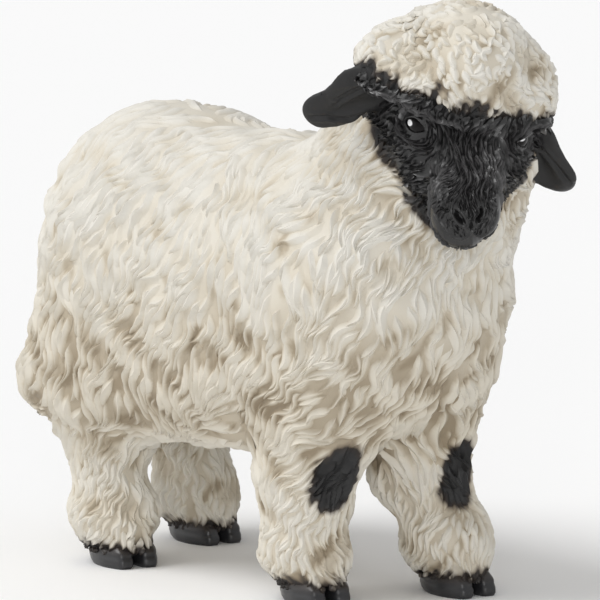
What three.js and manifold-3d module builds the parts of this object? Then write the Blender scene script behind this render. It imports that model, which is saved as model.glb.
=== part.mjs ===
// A blacknose sheep, as a small moulded farm figure that stands on its four hooves.
// Millimetres, +X forward along the body, +Y to the sheep's left, +Z up.
// The whole outside is one distance field, blended from simple swellings. It is meshed region by
// region, and thin flat cuts part it into the pieces that a person would name.
import * as THREE from "three";
import { mergeVertices } from "three/addons/utils/BufferGeometryUtils.js";
import Module from "manifold-3d";

const wasm = await Module();
wasm.setup();

// ---------------------------------------------------------------- driving dimensions
const BACK_HEIGHT = 57; // highest point of the rump
const BELLY_HEIGHT = 17.5;
const TRUNK_LENGTH = 68; // chest to rump, over the wool
const TRUNK_WIDTH = 35;
const CUT = 0.35; // width of the cuts between neighbouring pieces
const LEG_CUT_HEIGHT = 15.6; // where the legs part from the trunk
const PASTERN_CUT_HEIGHT = 9.5; // where the woolly boot parts from the upper leg
const HOOF_HEIGHT = 3.4; // sole to the top of the horn, under the wool
const HOOF_LENGTH = 9.4;
const HOOF_WIDTH = 7.6;
const CLEFT = 0.6; // gap between the two claws of a hoof
const EYE_RADIUS = 1.4;
const EAR_LENGTH = 12.3;
const EAR_HALF_WIDTH = 3.3;
const EAR_HALF_THICKNESS = 0.95;
const TOE_REACH = 2; // how far the middle of the hoof stands ahead of the leg's axis

// Radii of a woolly leg, and how far ahead of the knee or hock it enters the trunk.
const FORELEG = { hip: 7.5, knee: 5.6, shank: 5.3, hipAhead: 2.5 };
const HINDLEG = { hip: 5.8, knee: 4.3, shank: 4.2, hipAhead: 0 };

// Where each foot stands: centre of the sole, the way the toes point, and the joint above it.
const FEET = {
  front_right: { x: 16, y: -8, toes: -16, knee: [14.2, -8.2, 14.5], girth: FORELEG },
  front_left: { x: 23.8, y: 8.5, toes: -8, knee: [17.2, 8.1, 14.5], girth: FORELEG },
  rear_right: { x: -18, y: -9.5, toes: -16, knee: [-21.4, -9.3, 14], girth: HINDLEG },
  rear_left: { x: -23, y: 8.5, toes: -8, knee: [-26.8, 8.3, 13.5], girth: HINDLEG },
};

// The head turns to the sheep's right, nose down, a little tipped over to the left.
const HEAD = {
  at: [37.5, -3.4, 59.6], // midpoint between the eyes
  heading: -36,
  pitch: 30,
  tilt: -11,
};

// Size of the facets on each piece: finest where the form is smallest.
const FACET = { trunk: 3.8, neck: 2.9, cap: 2.1, head: 1.7, muzzle: 1.2, leg: 2.5, tail: 2.3, room: 2.6 };

// ---------------------------------------------------------------- distance fields
// A field is a function of (x, y, z): negative inside, positive outside, in millimetres.
const roundCone = (a, b, ra, rb) => {
  const d = [b[0] - a[0], b[1] - a[1], b[2] - a[2]];
  const len2 = d[0] ** 2 + d[1] ** 2 + d[2] ** 2;
  return (x, y, z) => {
    const px = x - a[0];
    const py = y - a[1];
    const pz = z - a[2];
    const t = Math.min(1, Math.max(0, (px * d[0] + py * d[1] + pz * d[2]) / len2));
    return Math.hypot(px - t * d[0], py - t * d[1], pz - t * d[2]) - (ra + t * (rb - ra));
  };
};

const ellipsoid = (c, r) => (x, y, z) => {
  const px = (x - c[0]) / r[0];
  const py = (y - c[1]) / r[1];
  const pz = (z - c[2]) / r[2];
  const k0 = Math.hypot(px, py, pz);
  const k1 = Math.hypot(px / r[0], py / r[1], pz / r[2]);
  return k1 < 1e-9 ? -Math.min(...r) : (k0 * (k0 - 1)) / k1;
};

// Smooth union: fields closer than k flow into each other.
const softMin = (a, b, k) => {
  const h = Math.max(k - Math.abs(a - b), 0) / k;
  return Math.min(a, b) - (h * h * k) / 4;
};
const blend = (k, ...fields) => (x, y, z) =>
  fields.reduce((d, f) => softMin(d, f(x, y, z), k), 1e3);
const carve = (k, body, tool) => (x, y, z) => -softMin(-body(x, y, z), tool(x, y, z), k);

// A field modelled in a frame of its own, such as the head's.
const placed = (frame, field) => {
  const e = frame.clone().invert().elements;
  return (x, y, z) =>
    field(
      e[0] * x + e[4] * y + e[8] * z + e[12],
      e[1] * x + e[5] * y + e[9] * z + e[13],
      e[2] * x + e[6] * y + e[10] * z + e[14],
    );
};
const degrees = THREE.MathUtils.degToRad;
const frameAt = (at, heading, pitch = 0, tilt = 0) =>
  new THREE.Matrix4()
    .makeRotationFromEuler(new THREE.Euler(degrees(tilt), degrees(pitch), degrees(heading), "ZYX"))
    .setPosition(...at);
const mirrored = (field) => (x, y, z) => field(x, Math.abs(y), z);

// ---------------------------------------------------------------- meshing a field
// A grid face whose diagonal corners agree and whose neighbours don't would give an edge with four
// faces, so the corner nearest the surface changes sides.
function untangle(value, step) {
  let changed = true;
  while (changed) {
    changed = false;
    for (let axis = 0; axis < 3; axis++) {
      const [u, v] = [step[(axis + 1) % 3], step[(axis + 2) % 3]];
      for (let a = 0; a < value.length - u - v; a++) {
        const face = [a, a + u, a + u + v, a + v];
        const inside = face.map((c) => value[c] < 0);
        if (inside[0] !== inside[2] || inside[1] !== inside[3] || inside[0] === inside[1]) continue;
        const nearest = face.reduce((m, c) => (Math.abs(value[c]) < Math.abs(value[m]) ? c : m));
        value[nearest] = -value[nearest] || 1e-6;
        changed = true;
      }
    }
  }
}

// One step along the slope of the field, to where the field is zero. Points on the walls of the
// box, which have no surface near them, stay.
function ontoSurface(field, p, cell) {
  const here = field(...p);
  if (Math.abs(here) > cell / 3) return p;
  const e = cell / 20;
  const slope = [0, 1, 2].map((n) => (field(...p.map((v, m) => v + (m === n ? e : 0))) - here) / e);
  const steepness = Math.max(slope[0] ** 2 + slope[1] ** 2 + slope[2] ** 2, 0.3);
  return p.map((v, n) => v - (here * slope[n]) / steepness);
}

// Surface nets: one vertex in each cell that the surface crosses, at the mean of its edge
// crossings, and one quad across each grid edge whose two ends lie on opposite sides.
function surfaceOf(field, low, high, cell) {
  const count = low.map((v, i) => Math.ceil((high[i] - v) / cell) + 1);
  const at = (i, j, k) => (k * count[1] + j) * count[0] + i;
  const value = new Float32Array(count[0] * count[1] * count[2]);
  for (let k = 0; k < count[2]; k++)
    for (let j = 0; j < count[1]; j++)
      for (let i = 0; i < count[0]; i++)
        value[at(i, j, k)] = field(low[0] + i * cell, low[1] + j * cell, low[2] + k * cell);
  const border = (n, most) => n === 0 || n === most - 1;
  for (let k = 0; k < count[2]; k++)
    for (let j = 0; j < count[1]; j++)
      for (let i = 0; i < count[0]; i++)
        if (border(i, count[0]) || border(j, count[1]) || border(k, count[2]))
          value[at(i, j, k)] = Math.max(value[at(i, j, k)], cell / 2);
  const step = [1, count[0], count[0] * count[1]];
  untangle(value, step);
  const corners = [0, 1, 2, 3, 4, 5, 6, 7].map((c) => [c & 1, (c >> 1) & 1, c >> 2]);
  const vertexOf = new Map();
  const positions = [];
  for (let k = 0; k < count[2] - 1; k++)
    for (let j = 0; j < count[1] - 1; j++)
      for (let i = 0; i < count[0] - 1; i++) {
        const base = at(i, j, k);
        const sum = [0, 0, 0];
        let crossings = 0;
        for (const c of corners)
          for (let axis = 0; axis < 3; axis++) {
            if (c[axis]) continue;
            const from = base + c[0] * step[0] + c[1] * step[1] + c[2] * step[2];
            const [v0, v1] = [value[from], value[from + step[axis]]];
            if (v0 < 0 === v1 < 0) continue;
            const t = v0 / (v0 - v1);
            for (let n = 0; n < 3; n++) sum[n] += c[n] + (n === axis ? t : 0);
            crossings++;
          }
        if (!crossings) continue;
        vertexOf.set(base, positions.length / 3);
        const mean = [i, j, k].map((cellAt, n) => low[n] + (cellAt + sum[n] / crossings) * cell);
        positions.push(...ontoSurface(field, mean, cell));
      }
  const faces = [];
  for (let k = 0; k < count[2] - 1; k++)
    for (let j = 0; j < count[1] - 1; j++)
      for (let i = 0; i < count[0] - 1; i++)
        for (let axis = 0; axis < 3; axis++) {
          const here = at(i, j, k);
          const inside = value[here] < 0;
          if (inside === value[here + step[axis]] < 0) continue;
          const [u, v] = [step[(axis + 1) % 3], step[(axis + 2) % 3]];
          const q = [here - u - v, here - v, here, here - u].map((b) => vertexOf.get(b));
          if (!inside) q.reverse();
          faces.push(q[0], q[1], q[2], q[0], q[2], q[3]);
        }
  return { positions: new Float32Array(positions), faces: new Uint32Array(faces) };
}

// ---------------------------------------------------------------- trunk and neck
const TRUNK_MID = (BACK_HEIGHT + BELLY_HEIGHT) / 2;
const HALF_DEPTH = (BACK_HEIGHT - BELLY_HEIGHT) / 2;
const HALF_WIDTH = TRUNK_WIDTH / 2;

const trunkField = blend(
  6,
  ellipsoid([1, 0, TRUNK_MID - 0.5], [TRUNK_LENGTH / 2 - 4, HALF_WIDTH, HALF_DEPTH - 1]), // barrel
  ellipsoid([-18.8, 0, TRUNK_MID + 1.5], [17, HALF_WIDTH - 0.6, HALF_DEPTH - 1.2]), // rump
  mirrored(ellipsoid([-21.6, 8, 26], [12.4, 9, 8.5])), // wool over the haunches
  mirrored(ellipsoid([-22.2, 8.2, 21], [12.2, 8.4, 4])), // and its lower edge
  mirrored(ellipsoid([0, 6.5, 26.5], [20, 10, 9])), // wool along the belly
  mirrored(ellipsoid([17, 6, 35], [11.2, 8.4, 15.5])), // shoulders
  ellipsoid([22.6, 0, 37], [10.3, 12.2, 12.5]), // brisket
);

const headFrame = frameAt(HEAD.at, HEAD.heading, HEAD.pitch, HEAD.tilt);
const fromHead = (x, y, z) => new THREE.Vector3(x, y, z).applyMatrix4(headFrame).toArray();

const neckField = blend(
  6,
  roundCone([17, 0, 42], fromHead(-9, 0, -6), 15, 10.5),
  roundCone([22, 0, 44], fromHead(-5, 1.5, -12), 12.5, 9), // throat wool
);

// ---------------------------------------------------------------- head, in its own frame
// +x from between the eyes to the nose, +y to the sheep's left, +z out of the forehead.
const skullField = blend(
  3,
  ellipsoid([-5, 0, -2.5], [8.5, 8.2, 8.2]), // cranium
  roundCone([0, 0, -0.7], [9.8, 0, -3.7], 5.7, 3.3), // bridge of the nose
  mirrored(ellipsoid([-1.5, 4.2, -4.5], [6.5, 3.9, 5.5])), // cheeks
  roundCone([-2, 0, -8.4], [9.4, 0, -7.2], 3.8, 2.5), // lower jaw
  ellipsoid([10.2, 0, -4.6], [3, 3.8, 3.5]), // muzzle
);
const browField = mirrored(roundCone([-2, 6, 2.6], [1.8, 5.7, 2.4], 1.5, 1));
const nostrilField = mirrored(roundCone([12.4, 1.6, -2.6], [12.3, 2.8, -4.6], 0.45, 0.8));
const faceField = carve(0.6, blend(1.6, skullField, browField), nostrilField);
const EYE_PLACE = [0.4, 6.5, 0.4];

const capField = blend(
  3.5,
  ellipsoid([-4.5, -1, 6.4], [8.6, 7, 7.4]),
  ellipsoid([-4.5, 5.8, 3.6], [6.3, 4.8, 5.4]),
  ellipsoid([-4.5, -9.2, 4], [6.3, 4.8, 4.8]),
  ellipsoid([-10, -0.8, 1.5], [6, 9.6, 7.6]), // down onto the nape
);
const CAP_EDGE = { at: [4, 0, 4], facing: [-0.3, 0.1, 1] }; // underside of the cap of wool

// An ear is a ball drawn out into a leaf and cupped: x runs from root to tip, z out of its back.
const earShape = (v) => {
  const along = (v.x + 1) / 2;
  const across = v.y * EAR_HALF_WIDTH * (1.45 - 0.7 * along);
  return v.set(along * EAR_LENGTH, across, v.z * EAR_HALF_THICKNESS - 0.06 * across ** 2);
};
const EARS = {
  left: { root: [-5, 8, -0.6], side: 1, droop: 49, sweep: 0, roll: 24 },
  right: { root: [-5, -8, 0.8], side: -1, droop: 28, sweep: 2, roll: 6 },
};
const earFrame = ({ root, side, droop, sweep, roll }) => {
  const length = new THREE.Vector3(-Math.sin(degrees(sweep)), side * Math.cos(degrees(sweep)), 0)
    .multiplyScalar(Math.cos(degrees(droop)))
    .setZ(-Math.sin(degrees(droop)));
  const upper = new THREE.Vector3(0, 0, 1).addScaledVector(length, -length.z).normalize();
  const back = upper.clone().cross(length).multiplyScalar(side);
  back.multiplyScalar(Math.cos(degrees(roll))).addScaledVector(upper, Math.sin(degrees(roll)));
  return new THREE.Matrix4()
    .makeBasis(length, back.clone().cross(length), back)
    .setPosition(...root)
    .premultiply(headFrame);
};

// ---------------------------------------------------------------- legs and tail
const HIP_HEIGHT = 27;
const FETLOCK_HEIGHT = 6.5;
const legField = ({ x, y, knee, girth }) => {
  const hip = [knee[0] + girth.hipAhead, knee[1] * 0.8, HIP_HEIGHT];
  const fetlock = [x - TOE_REACH, y, FETLOCK_HEIGHT];
  return blend(
    3,
    roundCone(hip, knee, girth.hip, girth.knee),
    roundCone(knee, fetlock, girth.shank, 4.7),
    ellipsoid([fetlock[0], y, 5.8], [5.6, 5.1, 4]), // woolly boot over the hoof
  );
};

const tailField = roundCone([-33, 0.3, 43], [-36, 0.3, 28], 4.6, 3.8);

const bodyField = blend(4, trunkField, neckField, ...Object.values(FEET).map(legField));

// ---------------------------------------------------------------- solids
const solidOf = ({ positions, faces }) =>
  new wasm.Manifold(new wasm.Mesh({ numProp: 3, vertProperties: positions, triVerts: faces }));

const solidFromGeometry = (geometry) => {
  const bare = geometry.clone();
  bare.deleteAttribute("normal");
  bare.deleteAttribute("uv");
  const merged = mergeVertices(bare, 1e-4);
  return solidOf({
    positions: new Float32Array(merged.attributes.position.array),
    faces: new Uint32Array(merged.index.array),
  });
};

const geometryOf = (solid) => {
  const mesh = solid.getMesh();
  const geometry = new THREE.BufferGeometry();
  geometry.setAttribute("position", new THREE.BufferAttribute(new Float32Array(mesh.vertProperties), 3));
  geometry.setIndex(new THREE.BufferAttribute(new Uint32Array(mesh.triVerts), 1));
  geometry.computeVertexNormals();
  return geometry;
};

// A plane, and the block of space ahead of it or behind it that a piece gives up.
const FAR = 160;
const plane = (at, facing) => ({
  at: new THREE.Vector3(...at),
  facing: new THREE.Vector3(...facing).normalize(),
});
const blockBeyond = ({ at, facing }, side) => {
  const block = new THREE.BoxGeometry(FAR, FAR, FAR);
  const out = facing.clone().multiplyScalar(side);
  block.applyQuaternion(new THREE.Quaternion().setFromUnitVectors(new THREE.Vector3(0, 0, 1), out));
  block.translate(...at.clone().addScaledVector(out, FAR / 2 - CUT / 2).toArray());
  return solidFromGeometry(block);
};
const below = (cut) => (solid) => solid.subtract(blockBeyond(cut, 1));
const above = (cut) => (solid) => solid.subtract(blockBeyond(cut, -1));
const grown = (field, by) => (x, y, z) => field(x, y, z) - by;

const headPlane = (at, facing) => {
  const cut = plane(fromHead(...at), facing);
  cut.facing.transformDirection(headFrame);
  return cut;
};
const level = (height) => plane([0, 0, height], [0, 0, 1]);

const neckCut = plane([20, 0, 50.5], [0.47, -0.05, 0.88]);
const capCut = headPlane(CAP_EDGE.at, CAP_EDGE.facing);
const muzzleCut = headPlane([7.2, 0, -5], [1, 0, 0.1]);
const legCut = level(LEG_CUT_HEIGHT);
const pasternCut = level(PASTERN_CUT_HEIGHT);
const hoofCut = level(HOOF_HEIGHT + CUT / 2);
const middleCut = plane([0, 0, 0], [0, 1, 0]);

const solidOfField = (field, low, high, cell) => solidOf(surfaceOf(field, low, high, cell));
const without = (tool) => (solid) => solid.subtract(tool);
const piece = (name, look, solid, ...cuts) => {
  const made = new THREE.Mesh(geometryOf(cuts.reduce((left, cut) => cut(left), solid)), look);
  made.name = name;
  return made;
};

// ---------------------------------------------------------------- paints
const paint = (name, colour, roughness) =>
  new THREE.MeshStandardMaterial({ name, color: colour, roughness, metalness: 0 });
const WOOL = paint("wool", 0xe4ddcb, 0.62);
const BLACK = paint("black_fur", 0x2b2a2a, 0.45);
const SATIN = paint("ear", 0x2f2e2d, 0.5);
const HORN = paint("hoof", 0x2a2a2b, 0.35);
const EYE = paint("eye", 0x1a1918, 0.12);

const figure = new THREE.Group();
figure.name = "blacknose_sheep_figure";

// ---------------------------------------------------------------- head pieces
const HEAD_REACH = 21;
const headLow = HEAD.at.map((v) => v - HEAD_REACH);
const headHigh = HEAD.at.map((v) => v + HEAD_REACH);
const headField = placed(headFrame, faceField);
const woolCap = placed(headFrame, capField);
const inHead = (field, cell) => solidOfField(field, headLow, headHigh, cell);
// The space that the head and its cap take up in the wool of the neck.
const capRoom = above(capCut)(inHead(grown(woolCap, CUT), FACET.room));
const headRoom = capRoom.add(inHead(grown(headField, CUT), FACET.room));

const eyePlace = (side) => fromHead(EYE_PLACE[0], side * EYE_PLACE[1], EYE_PLACE[2]);
const socket = (side) =>
  solidFromGeometry(new THREE.SphereGeometry(EYE_RADIUS + CUT, 12, 8).translate(...eyePlace(side)));
const sockets = socket(1).add(socket(-1));
figure.add(
  piece("head", BLACK, inHead(headField, FACET.head), below(muzzleCut), below(capCut), without(sockets)),
  piece("muzzle", BLACK, inHead(headField, FACET.muzzle), above(muzzleCut)),
  piece("forelock", WOOL, inHead(woolCap, FACET.cap), above(capCut), without(sockets)),
);

for (const [name, side] of [["left", 1], ["right", -1]]) {
  const eye = new THREE.Mesh(new THREE.SphereGeometry(EYE_RADIUS, 12, 8), EYE);
  eye.name = `eye_${name}`;
  eye.position.set(...eyePlace(side));
  figure.add(eye);
}

// ---------------------------------------------------------------- trunk, neck and tail
const BODY_LOW = [-44, -24, 12];
const BODY_HIGH = [56, 24, 78];
const bodyRoom = solidOfField(grown(bodyField, CUT), BODY_LOW, BODY_HIGH, FACET.neck);
const trunk = solidOfField(bodyField, BODY_LOW, BODY_HIGH, FACET.trunk);
const neck = solidOfField(bodyField, [4, -26, 34], BODY_HIGH, FACET.neck);
const tail = solidOfField(tailField, [-42, -6, 22], [-26, 6, 50], FACET.tail);
figure.add(
  piece("trunk", WOOL, trunk, below(neckCut), above(legCut)),
  piece("neck", WOOL, neck, above(neckCut), without(headRoom)),
  piece("tail", WOOL, tail, without(bodyRoom)),
);

// ---------------------------------------------------------------- ears
for (const [name, ear] of Object.entries(EARS)) {
  const ball = new THREE.SphereGeometry(1, 12, 12).rotateZ(-Math.PI / 2);
  const place = ball.attributes.position;
  for (let i = 0; i < place.count; i++)
    place.setXYZ(i, ...earShape(new THREE.Vector3().fromBufferAttribute(place, i)).toArray());
  const leaf = solidFromGeometry(ball.applyMatrix4(earFrame(ear)));
  figure.add(piece(`ear_${name}`, SATIN, leaf, without(headRoom), without(bodyRoom)));
}

// ---------------------------------------------------------------- legs
const LEG_REACH = 15;
for (const [name, foot] of Object.entries(FEET)) {
  const axis = (foot.x + foot.knee[0]) / 2;
  const low = [axis - LEG_REACH, foot.y > 0 ? -1.5 : -24, 0];
  const high = [axis + LEG_REACH, foot.y > 0 ? 24 : 1.5, LEG_CUT_HEIGHT + 4];
  const side = foot.y > 0 ? above(middleCut) : below(middleCut);
  const leg = solidOfField(bodyField, low, high, FACET.leg);
  figure.add(
    piece(`leg_${name}_upper`, WOOL, leg, below(legCut), above(pasternCut), side),
    piece(`leg_${name}_lower`, WOOL, leg, below(pasternCut), above(hoofCut), side),
  );
}

// ---------------------------------------------------------------- hooves
// A claw is half of the hoof: straight along the cleft, round outside, and leaning back.
const CLAW_BEVEL = 0.35;
const CLAW_LEAN = 0.3;
const clawGeometry = (side) => {
  const toe = HOOF_LENGTH / 2 - CLAW_BEVEL;
  const heel = -toe;
  const inner = side * (CLEFT / 2 + CLAW_BEVEL);
  const outer = side * (HOOF_WIDTH / 2 - CLAW_BEVEL);
  const outline = new THREE.Shape();
  outline.moveTo(heel + 0.8, inner);
  outline.lineTo(toe - 0.8, inner);
  outline.bezierCurveTo(toe + 0.4, inner, toe - 0.4, outer, 0.6, outer);
  outline.bezierCurveTo(heel + 1.4, outer, heel, (outer + inner) / 2, heel + 0.8, inner);
  const claw = new THREE.ExtrudeGeometry(outline, {
    depth: HOOF_HEIGHT - 2 * CLAW_BEVEL,
    bevelSize: CLAW_BEVEL,
    bevelThickness: CLAW_BEVEL,
    bevelSegments: 1,
    curveSegments: 5,
  });
  claw.translate(0, 0, CLAW_BEVEL);
  return claw.applyMatrix4(new THREE.Matrix4().makeShear(0, 0, 0, 0, -CLAW_LEAN, 0));
};

for (const [name, foot] of Object.entries(FEET)) {
  const hoof = new THREE.Group();
  hoof.position.set(foot.x, foot.y, 0);
  hoof.rotation.z = degrees(foot.toes);
  for (const side of [1, -1]) {
    const claw = new THREE.Mesh(clawGeometry(side), HORN);
    claw.name = `hoof_${name}_${side * foot.y > 0 ? "outer" : "inner"}`;
    hoof.add(claw);
  }
  figure.add(hoof);
}

// The origin is on the ground, under the middle of the figure.
const middle = new THREE.Box3().setFromObject(figure).getCenter(new THREE.Vector3());
figure.position.set(-middle.x, -middle.y, 0);

const sheep = new THREE.Group();
sheep.add(figure);
export default sheep;
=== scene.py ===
"""Looks of a moulded, painted toy figure of a blacknose sheep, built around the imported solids.

Everything is worked out in millimetres in the figure's own frame (x forward, y to the sheep's left,
z up from the floor) and moved to the row frame, in metres, when a mesh is made.
"""

import math

import bmesh
import bpy
import numpy as np
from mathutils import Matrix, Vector
from mathutils.bvhtree import BVHTree


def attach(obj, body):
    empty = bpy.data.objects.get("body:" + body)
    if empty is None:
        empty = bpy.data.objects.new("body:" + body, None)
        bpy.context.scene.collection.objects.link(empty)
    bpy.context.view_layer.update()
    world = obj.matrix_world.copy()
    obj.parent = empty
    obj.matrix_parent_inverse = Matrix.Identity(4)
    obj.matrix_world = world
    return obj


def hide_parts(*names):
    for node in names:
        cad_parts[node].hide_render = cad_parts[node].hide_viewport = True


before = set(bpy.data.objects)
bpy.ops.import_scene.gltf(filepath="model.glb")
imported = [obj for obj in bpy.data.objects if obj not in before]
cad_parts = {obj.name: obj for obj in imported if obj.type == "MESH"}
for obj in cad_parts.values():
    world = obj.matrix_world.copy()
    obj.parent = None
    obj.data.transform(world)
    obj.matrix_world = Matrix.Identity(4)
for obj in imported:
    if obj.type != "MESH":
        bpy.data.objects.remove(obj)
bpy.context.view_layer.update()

# ---------------------------------------------------------------- sizes, in millimetres
SHIFT = np.array([-3.2514, -0.0696, 0.0])  # from the figure's frame to the row frame
BACK_HEIGHT, BELLY_HEIGHT, TRUNK_LENGTH, TRUNK_WIDTH = 57, 17.5, 68, 35
HOOF_HEIGHT, HOOF_LENGTH, HOOF_WIDTH, CLEFT = 3.4, 9.4, 7.6, 0.6
EYE_RADIUS = 1.4
EYE_PLACE = np.array([1.05, 5.85, 0.5])  # in the head's frame, for the left eye
EYE_OUT = np.array([0.5, 0.83, 0.25])  # the way the left eye looks
EYE_ALONG = np.array([0.77, -0.56, 0.28])  # from its back corner to its front one
LID_HALF_LENGTH, LID_HALF_OPENING = 1.85, 0.78
EYE_STRETCH = 1.35  # the ball is this much longer than it is high
NOSE_AT = (0.15, -3.9)  # across and up, in the head's frame: where the nose is turned about
NOSE_TURN = math.radians(18)
MOUTH_SIDE = (0.0, 0.5, 1.2, 2.0, 2.9, 3.5, 4.5)  # the edge of the upper lip, out from the middle
MOUTH_UP = (-5.0, -5.6, -6.1, -6.0, -5.0, -4.1, -3.4)
NOSTRIL = (1.35, -2.75)
EAR_HALF_THICKNESS, EAR_TIP_ROUND = 0.95, 2.4
WOOL_END = 2.2  # the wool hangs over the hooves to this height
TOE_REACH, HIP_HEIGHT, FETLOCK_HEIGHT = 2, 27, 6.5
FORELEG = dict(hip=7.5, knee=5.6, shank=5.3, ahead=2.5)
HINDLEG = dict(hip=5.8, knee=4.3, shank=4.2, ahead=0)
FEET = {
    "front_right": dict(x=16, y=-8, toes=-16, knee=(14.2, -8.2, 14.5), girth=FORELEG),
    "front_left": dict(x=23.8, y=8.5, toes=-8, knee=(17.2, 8.1, 14.5), girth=FORELEG),
    "rear_right": dict(x=-18, y=-9.5, toes=-16, knee=(-21.4, -9.3, 14), girth=HINDLEG),
    "rear_left": dict(x=-23, y=8.5, toes=-8, knee=(-26.8, 8.3, 13.5), girth=HINDLEG),
}
HEAD_AT, HEADING, PITCH, TILT = np.array([37.5, -3.4, 59.6]), -36, 30, -11
WOOL_DEPTH = 0.24  # the skin lies this far under the tips of the wool
FUR_DEPTH = 0.22  # and this far under the short fur of the face
SKIN_CELL = 0.5
SATIN_WASH_AND_PAINTED_SHADE = 0.2  # the black paint is satin up to this much beige and painted shade, and dull above it
OUT = 1e3


# ---------------------------------------------------------------- distance fields
def length(v):
    return np.sqrt((v * v).sum(-1))


def unit(v):
    return v / np.maximum(length(v), 1e-9)[..., None]


def smooth(low, high, x):
    t = np.clip((x - low) / (high - low), 0, 1)
    return t * t * (3 - 2 * t)


def round_cone(a, b, ra, rb):
    a = np.array(a, float)
    d = np.array(b, float) - a
    return lambda p: _round_cone(p - a, d, ra, rb)


def _round_cone(q, d, ra, rb):
    t = np.clip(q @ d / (d @ d), 0, 1)
    return length(q - t[:, None] * d) - (ra + t * (rb - ra))


def ellipsoid(c, r):
    c, r = np.array(c, float), np.array(r, float)

    def field(p):
        q = (p - c) / r
        k0 = length(q)
        return k0 * (k0 - 1) / np.maximum(length(q / r), 1e-6)

    return field


def soft_min(a, b, k):
    h = np.maximum(k - np.abs(a - b), 0) / k
    return np.minimum(a, b) - h * h * k / 4


def blend(k, *fields):
    def field(p):
        d = np.full(len(p), OUT)
        for f in fields:
            d = soft_min(d, f(p), k)
        return d

    return field


def mirrored(field):
    return lambda p: field(np.stack([p[:, 0], np.abs(p[:, 1]), p[:, 2]], 1))


def rotation(heading, pitch=0.0, tilt=0.0):
    h, p, t = (math.radians(v) for v in (heading, pitch, tilt))
    rz = np.array([[math.cos(h), -math.sin(h), 0], [math.sin(h), math.cos(h), 0], [0, 0, 1]])
    ry = np.array([[math.cos(p), 0, math.sin(p)], [0, 1, 0], [-math.sin(p), 0, math.cos(p)]])
    rx = np.array([[1, 0, 0], [0, math.cos(t), -math.sin(t)], [0, math.sin(t), math.cos(t)]])
    return rz @ ry @ rx


HEAD = rotation(HEADING, PITCH, TILT)


def to_head(p):
    return (p - HEAD_AT) @ HEAD


def from_head(q):
    return np.asarray(q, float) @ HEAD.T + HEAD_AT


TRUNK_MID = (BACK_HEIGHT + BELLY_HEIGHT) / 2
HALF_DEPTH = (BACK_HEIGHT - BELLY_HEIGHT) / 2
HALF_WIDTH = TRUNK_WIDTH / 2
trunk_field = blend(
    6,
    ellipsoid([1, 0, TRUNK_MID - 0.5], [TRUNK_LENGTH / 2 - 4, HALF_WIDTH, HALF_DEPTH - 1]),
    ellipsoid([-18.8, 0, TRUNK_MID + 1.5], [17, HALF_WIDTH - 0.6, HALF_DEPTH - 1.2]),
    mirrored(ellipsoid([-21.6, 8, 26], [12.4, 9, 8.5])),
    mirrored(ellipsoid([-22.2, 8.2, 21], [12.2, 8.4, 4])),
    mirrored(ellipsoid([0, 6.5, 26.5], [20, 10, 9])),
    mirrored(ellipsoid([17, 6, 35], [11.2, 8.4, 15.5])),
    ellipsoid([22.6, 0, 37], [10.3, 12.2, 12.5]),
)
neck_field = blend(
    6,
    round_cone([17, 0, 42], from_head([-9, 0, -6]), 15, 10.5),
    round_cone([22, 0, 44], from_head([-5, 1.5, -12]), 12.5, 9),
)
skull_field = blend(
    3,
    ellipsoid([-5, 0, -2.5], [8.5, 8.2, 8.2]),
    round_cone([0, 0, -0.7], [9.8, 0, -3.7], 5.7, 3.3),
    mirrored(ellipsoid([-1.5, 4.2, -4.5], [6.5, 3.9, 5.5])),
    round_cone([-2, 0, -8.4], [9.4, 0, -7.2], 3.8, 2.5),
    ellipsoid([10.2, 0, -4.6], [3, 3.8, 3.5]),
)
brow_field = mirrored(round_cone([-2, 6, 2.6], [1.8, 5.7, 2.4], 1.5, 1))
cap_field = blend(
    3.5,
    ellipsoid([-4.5, -1, 6.4], [8.6, 7, 7.4]),
    ellipsoid([-4.5, 5.8, 3.6], [6.3, 4.8, 5.4]),
    ellipsoid([-4.5, -9.2, 4], [6.3, 4.8, 4.8]),
    ellipsoid([-10, -0.8, 1.5], [6, 9.6, 7.6]),
)
CAP_EDGE = np.array([4.0, 0.0, 4.0])
CAP_FACING = unit(np.array([-0.3, 0.1, 1.0]))
face_shape = blend(1.6, skull_field, brow_field)


def leg_field(foot):
    knee, girth = foot["knee"], foot["girth"]
    hip = (knee[0] + girth["ahead"], knee[1] * 0.8, HIP_HEIGHT)
    fetlock = (foot["x"] - TOE_REACH, foot["y"], FETLOCK_HEIGHT)
    return blend(
        3,
        round_cone(hip, knee, girth["hip"], girth["knee"]),
        round_cone(knee, fetlock, girth["shank"], 4.7),
        ellipsoid((fetlock[0], foot["y"], 5.8), (5.6, 5.1, 4)),
    )


tail_field = round_cone([-33, 0.3, 43], [-36, 0.3, 28], 4.6, 3.8)
body_field = blend(4, trunk_field, neck_field, *[leg_field(foot) for foot in FEET.values()])

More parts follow.
